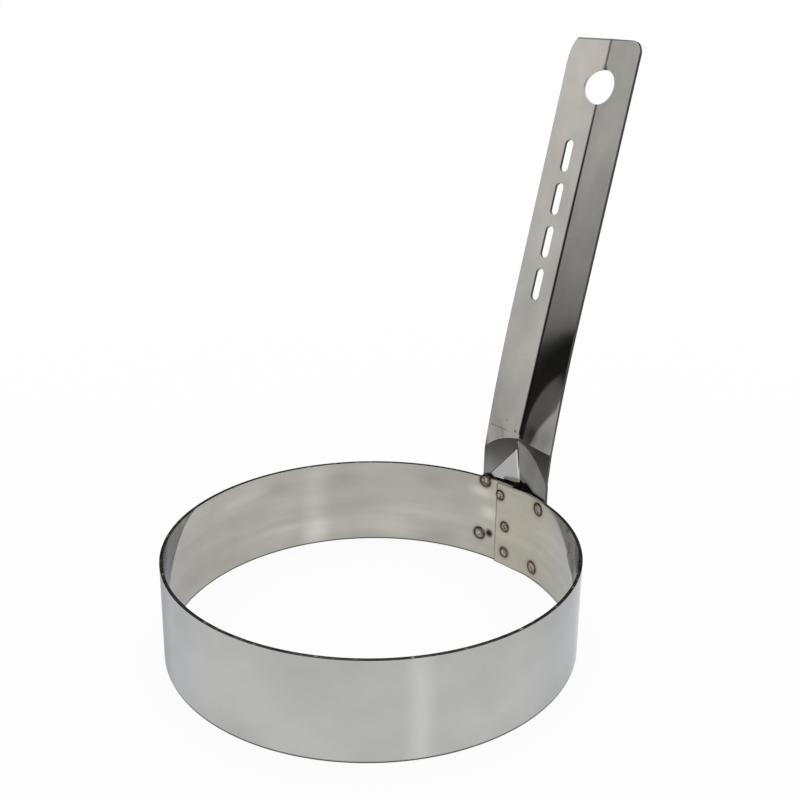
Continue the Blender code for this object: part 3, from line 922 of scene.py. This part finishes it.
# %% Press the blank
MERGE_DISTANCE = 0.000002
PAINTED_SHADOW_REACH = 0.42
POLISHED, CUT_EDGE, OUTER_FACET, INNER_FACET, PAINTED_SHADE = range(5)
PYRAMID_LINE_ROW = 2 * len(form_parts)
handle_finishes = [handle_steel, cut_edge_steel, outer_facet_painted_shade, inner_facet_painted_light_and_shade, painted_shade_steel]
handle = bmesh.new()
columns, rows = len(column_shares), len(row_makers)
bmesh.ops.create_grid(handle, x_segments=columns - 1, y_segments=rows - 1, size=0.5)
for face in handle.faces:
    middle = face.calc_center_median()
    row = int((middle.y + 0.5) * (rows - 1))
    face.material_index = {1: INNER_FACET, 2: OUTER_FACET}.get(row // len(form_parts), POLISHED)
    # Painted shadow on the narrow row at the pyramid's left line.
    if row == PYRAMID_LINE_ROW and -PAINTED_SHADOW_REACH < middle.x < 0:
        face.material_index = PAINTED_SHADE
for vert in handle.verts:
    column = round((vert.co.x + 0.5) * (columns - 1))
    row = round((vert.co.y + 0.5) * (rows - 1))
    vert.co = row_makers[row](column_shares[column])
bmesh.ops.remove_doubles(handle, verts=handle.verts[:], dist=MERGE_DISTANCE)
handle.normal_update()
if max(handle.faces, key=lambda face: face.calc_area()).normal.y > 0:
    bmesh.ops.reverse_faces(handle, faces=handle.faces[:])
depths = [vert.co.y for vert in handle.verts]
print("handle from y %.2f to %.2f mm" % (min(depths) * 1000, max(depths) * 1000))

# %% [markdown]
# ## The hanging hole and the slots
# Each punch is a pin across the leaning sheet, round or drawn out to a long round-ended shape. The
# hanging hole's pin is a little wider than high.

# %% Make the punches
HANG_HOLE_RADIUS = 0.0045
HANG_HOLE_WIDENING = 1.085
HANG_HOLE_FROM_TOP = 0.0124
SLOT_COUNT = 4
SLOT_WIDTH = 0.0024
SLOT_LENGTH = 0.0085
SLOT_PITCH = 0.0115
SLOT_ROW_FROM_TOP = 0.0309
SLOT_LINE_SHARE = 0.46
PUNCH_STEPS = 64
PUNCH_LENGTH = 0.010


def punch(radius, stretch, across, run):
    """A pin that stands across the sheet at one place."""
    pin = bmesh.new()
    bmesh.ops.create_cone(pin, cap_ends=True, segments=PUNCH_STEPS, radius1=radius, radius2=radius,
                          depth=PUNCH_LENGTH)
    for vert in pin.verts:
        if abs(vert.co.y) > MERGE_DISTANCE:
            vert.co.y += math.copysign(stretch / 2, vert.co.y)
    place = Matrix((Vector((1, 0, 0)), LEAN_UP, -LEAN_OUT)).transposed().to_4x4()
    place.translation = flange_point(across, run)
    pin.transform(place)
    return pin


pins = [punch(HANG_HOLE_RADIUS, 0, 0, HANDLE_LENGTH - HANG_HOLE_FROM_TOP)]
bmesh.ops.scale(pins[0], verts=pins[0].verts[:], vec=(HANG_HOLE_WIDENING, 1, 1))
for index in range(SLOT_COUNT):
    run = HANDLE_LENGTH - SLOT_ROW_FROM_TOP - index * SLOT_PITCH
    pins.append(punch(SLOT_WIDTH / 2, SLOT_LENGTH - SLOT_WIDTH, -SLOT_LINE_SHARE * HALF_WIDTH, run))
print("%d punches" % len(pins))

# %% [markdown]
# ## Thickness and punching
# The sheet gets its thickness behind its face, and a Boolean takes each pin out of it. Both modifiers
# are applied at once: their result is the handle's mesh.


# %% Punch the handle
def thicken_and_punch(bm, pins):
    """Gives the sheet its thickness behind its face, and takes the pins out of it."""
    meshes = []
    for index, shape in enumerate([bm] + pins):
        mesh = bpy.data.meshes.new("punch_%d" % index)
        shape.to_mesh(mesh)
        shape.free()
        for finish in handle_finishes:
            mesh.materials.append(finish)
        meshes.append(mesh)
    objects = [placed(mesh.name, mesh) for mesh in meshes]
    sheet = objects[0].modifiers.new("Sheet", "SOLIDIFY")
    sheet.thickness, sheet.offset = STRIP_THICKNESS, -1
    for pin in objects[1:]:
        cut = objects[0].modifiers.new(pin.name, "BOOLEAN")
        cut.operation, cut.solver, cut.object = "DIFFERENCE", "EXACT", pin
    bpy.context.view_layer.update()
    punched = bmesh.new()
    punched.from_mesh(objects[0].evaluated_get(bpy.context.evaluated_depsgraph_get()).to_mesh())
    for thing in objects:
        bpy.data.objects.remove(thing)
    for mesh in meshes:
        bpy.data.meshes.remove(mesh)
    return punched


handle = thicken_and_punch(handle, pins)
print("handle punched: %d faces" % len(handle.faces))

# %% [markdown]
# ## The handle's edges
# The cut edges turn dark and are eased. The hanging hole was cleaned up after punching and stays bright.

# %% Ease the handle's edges
HANDLE_EASE = 0.00016
TOP_EDGE_REACH = 0.002
hole_middle = flange_point(0, HANDLE_LENGTH - HANG_HOLE_FROM_TOP)
knee_top = bend_level(KNEE_LEVEL)
top_edge = flange_point(0, HANDLE_LENGTH - TOP_EDGE_REACH).z


def cut_finish(face):
    """The finish of a face at the sheet's edge."""
    middle = face.calc_center_median()
    if (middle - hole_middle).length < HANG_HOLE_RADIUS + STRIP_THICKNESS:
        return POLISHED
    # The top edge's faces take the same near-black steel.
    return PAINTED_SHADE if middle.z > top_edge and abs(face.normal.x) < STEEP else CUT_EDGE


# The foot's front face, hidden behind the band, gets painted shade.
for face in handle.faces:
    on_foot = face.normal.y < 0 and face.calc_center_median().z < knee_top
    if abs(face.normal.y) < STEEP:
        face.material_index = cut_finish(face)
    elif on_foot and face.material_index == POLISHED:
        face.material_index = PAINTED_SHADE
for face in ease_edges(handle, HANDLE_EASE):
    face.material_index = cut_finish(face)
hand_over("folded_handle", handle, handle_finishes, "handle")

# %% [markdown]
# ## The spot welds
# A weld's metal is burnt: nearly black at the mark's rim, greyer inside, with spatter all over.

# %% Mix the burnt metal
burnt = Recipe("burnt_weld_steel", (0.30, 0.24, 0.21), 0.34)
weld_grain = burnt.noise((1100, 1100, 1100), 3)
ragged = burnt.spread(weld_grain, 0.3, 0.7, -0.12, 0.12)
from_centre = burnt.sums("ADD", from_marks(burnt), ragged)
tone = burnt.ramp(from_centre, [
    (0, (0.44, 0.42, 0.39)), (0.44, (0.40, 0.37, 0.34)), (0.66, (0.30, 0.27, 0.245)),
    (0.78, (0.075, 0.060, 0.052)), (0.95, (0.13, 0.105, 0.09))])
spatter = burnt.ramp(weld_grain, [(0.42, (0.26, 0.23, 0.22)), (0.56, (1, 1, 1))])
burnt.bumpy(weld_grain, 0.3, 0.00003)
weld_metal = burnt.finish(burnt.stained(tone, spatter))
print("weld metal mixed")

# %% [markdown]
# ## Spinning the welds
# The welder's tips leave a round dent on both faces, with a lip of pushed-up metal. One outline, spun
# round its own axis, makes both dents and the plug between them. The dent's table goes from its middle
# to its rim: a share of the radius, and a height in lips.

# %% Spin the weld marks
LIP_HEIGHT = 0.00007
WELD_TURNS = 40
DENT = [(0, 0.2), (0.30, 0.25), (0.45, 0.45), (0.60, 0.95), (0.72, 1), (0.85, 0.8), (0.95, 0.35), (1, -0.6)]


def radial_frame(angle, height):
    """A frame whose Z axis points straight out from the ring's axis."""
    out = around(1, angle, 0)
    up = Vector((0, 0, 1))
    place = Matrix((up.cross(out), up, out)).transposed().to_4x4()
    place.translation = Vector((0, 0, height))
    return place


def weld_outline(radius, inner, outer):
    """Half of a weld, from the inner dent's middle to the outer one's."""
    inner_dent = [(radius * across, inner - LIP_HEIGHT * lift) for across, lift in DENT]
    outer_dent = [(radius * across, outer + LIP_HEIGHT * lift) for across, lift in reversed(DENT)]
    return inner_dent + outer_dent


for name, (angle, height, inner, outer) in WELDS.items():
    weld = bmesh.new()
    radius = MARK_RADII[name.split("_")[0]]
    verts = [weld.verts.new((across, 0, along)) for across, along in weld_outline(radius, inner, outer)]
    edges = [weld.edges.new(pair) for pair in zip(verts, verts[1:])]
    bmesh.ops.spin(weld, geom=verts + edges, cent=(0, 0, 0), axis=(0, 0, 1), angle=2 * math.pi,
                   steps=WELD_TURNS, use_merge=True)
    bmesh.ops.remove_doubles(weld, verts=weld.verts[:], dist=MERGE_DISTANCE)
    bmesh.ops.recalc_face_normals(weld, faces=weld.faces[:])
    weld.transform(radial_frame(math.radians(angle), height))
    hand_over("spot_" + name, weld, [weld_metal], "weld_" + name)

# %% [markdown]
# ## The floor
# The ring stands on a plain pale floor that keeps its soft shadow. The camera sees it nearly white. The
# steel sees it light near the ring, grey further off, and dark towards the dark side of the room.

# %% Lay the floor
FLOOR_RADIUS = 2.5
FLOOR_DROP = 0.00005

floor_mesh = bmesh.new()
bmesh.ops.create_circle(floor_mesh, cap_ends=True, segments=96, radius=FLOOR_RADIUS)
bmesh.ops.translate(floor_mesh, verts=floor_mesh.verts[:], vec=(0, 0, -FLOOR_DROP))
floor_data = bpy.data.meshes.new("pale_floor")
floor_mesh.to_mesh(floor_data)
floor_mesh.free()
floor = placed("pale_floor", floor_data)
print("floor laid")

# %% [markdown]
# ## The dark side of the room
# Polished steel needs something dark to show, or it looks like paper. One side of the room is dark, for
# the floor and for the walls.

# %% Find the way to the dark side
DARK_SIDE = math.radians(250)
DARK_WAY = (math.sin(DARK_SIDE), math.cos(DARK_SIDE), 0)


def towards_dark_side(recipe, near, far, lean=0):
    """1 within an angle of the dark side, 0 beyond a larger one, in degrees seen from above."""
    unit = recipe.vectors("NORMALIZE", recipe.vectors("MULTIPLY", recipe.place, (1, 1, 0)))
    away = recipe.sums("ARCCOSINE", recipe.vectors("DOT_PRODUCT", unit, DARK_WAY))
    away = recipe.sums("ADD", away, lean)
    return recipe.spread(away, math.radians(near), math.radians(far), 1, 0)


def greys(levels):
    """Stops for a ramp of plain greys."""
    return [(position, (grey, grey, grey)) for position, grey in levels]


print("dark side at %.0f degrees" % math.degrees(DARK_SIDE))


# %% Paint the floor
WHITENESS_NEAR = 0.92

paint = Recipe("pale_floor", (0.86, 0.86, 0.86), 0.9)
paint.plug(paint.shader, {"Metallic": 0, "Specular IOR Level": 0.1})
floor_reach = paint.vectors("LENGTH", paint.place)
near_light = paint.ramp(floor_reach, greys([(0, 0.92), (0.13, 0.88), (0.22, 0.62), (0.8, 0.5)]))
far_dark = paint.ramp(floor_reach, greys([
    (0, 0.92), (0.13, 0.86), (0.20, 0.20), (0.30, 0.08), (0.45, 0.12)]))
steel_sees = paint.mixed(towards_dark_side(paint, 15, 20), near_light, far_dark)
path = paint.add("ShaderNodeLightPath")
shown = paint.mixed(path.outputs["Is Camera Ray"], steel_sees, (1, 1, 1, 1))
glow = paint.plug(paint.add("ShaderNodeEmission"), {"Color": shown})
seen = paint.sums("MAXIMUM", path.outputs["Is Camera Ray"], path.outputs["Is Glossy Ray"])
whiteness = paint.spread(floor_reach, 0.15, 0.45, WHITENESS_NEAR, 1)
blend = paint.plug(paint.add("ShaderNodeMixShader"), {
    0: paint.times(seen, whiteness), 1: paint.shader.outputs[0], 2: glow.outputs[0]})
paint.plug(paint.nodes["Material Output"], {"Surface": blend.outputs[0]})
floor_data.materials.append(paint.material)
print("floor painted")

# %% [markdown]
# ## The studio's light
# Polished steel has hardly any colour of its own: it shows the room, a grey studio that is lighter
# towards the ceiling. A dim strip lies beside its dark side. The dark side's edge leans a little near
# the horizon, which slants the dark band on the handle.

# %% Light the room
DIM_REACH = (30.2, 31.8)
DARK_REACH = (24, 24.8)
LEAN_UP_TO = math.radians(1.45)
LEAN_BY = math.radians(2.7)
LIGHT_LEVELS = [(-90, 0.8), (-2, 0.50), (5, 0.64), (15, 0.76), (24, 0.86), (60, 0.95)]
DIM_LEVELS = [(-90, 0.6), (-3, 0.14), (3.6, 0.14), (4.4, 0.20), (10, 0.40), (19, 0.60), (35, 0.85)]
DARK_LEVELS = [(-90, 0.6), (-3, 0.022), (4.1, 0.014), (4.8, 0.18), (6.5, 0.29), (8.5, 0.40), (10, 0.42),
               (12.3, 0.50), (13.2, 0.56), (19, 0.62), (35, 0.85)]


def walls(levels):
    """Stops for a ramp by height: degrees above the horizon, and a grey that is a little warm."""
    return [((elevation + 90) / 180, (grey, grey * 0.99, grey * 0.975)) for elevation, grey in levels]


world = bpy.data.worlds.new("grey_studio")
world.use_nodes = True
bpy.context.scene.world = world
room = Nodes(world.node_tree, "Generated")
height = room.plug(room.add("ShaderNodeSeparateXYZ"), {0: room.place}).outputs["Z"]
elevation = room.sums("ARCSINE", height)
climb = room.spread(elevation, -math.pi / 2, math.pi / 2, 0, 1)
leaning = room.spread(elevation, 0, LEAN_UP_TO, 0, LEAN_BY)
light_side, dim_side, dark_side = [
    room.ramp(climb, walls(levels)) for levels in (LIGHT_LEVELS, DIM_LEVELS, DARK_LEVELS)]
studio = room.mixed(towards_dark_side(room, *DIM_REACH), light_side, dim_side)
studio = room.mixed(towards_dark_side(room, *DARK_REACH, leaning), studio, dark_side)
eyes = room.add("ShaderNodeLightPath")
shown = room.mixed(eyes.outputs["Is Camera Ray"], studio, (1, 1, 1, 1))
room.plug(room.nodes["Background"], {"Color": shown, "Strength": 1})
print("room lit")

# %% [markdown]
# ## The lamp
# One large soft lamp hangs over the ring, and gives the floor its soft shadow.

# %% Hang the soft overhead lamp
LAMP_PLACE = Vector((-0.15, 0.10, 1.1))
LAMP_SIZE = 0.9
LAMP_ENERGY = 3

lamp_data = bpy.data.lights.new("overhead_softbox", "AREA")
lamp_data.shape = "RECTANGLE"
lamp_data.size, lamp_data.size_y = LAMP_SIZE, LAMP_SIZE
lamp_data.energy = LAMP_ENERGY
lamp = placed("overhead_softbox", lamp_data)
lamp.location = LAMP_PLACE
lamp.rotation_euler = (-LAMP_PLACE).to_track_quat("-Z", "Y").to_euler()
bpy.context.scene.view_settings.view_transform = "Standard"
print("lamp %.0f mm up" % (LAMP_PLACE.z * 1000))
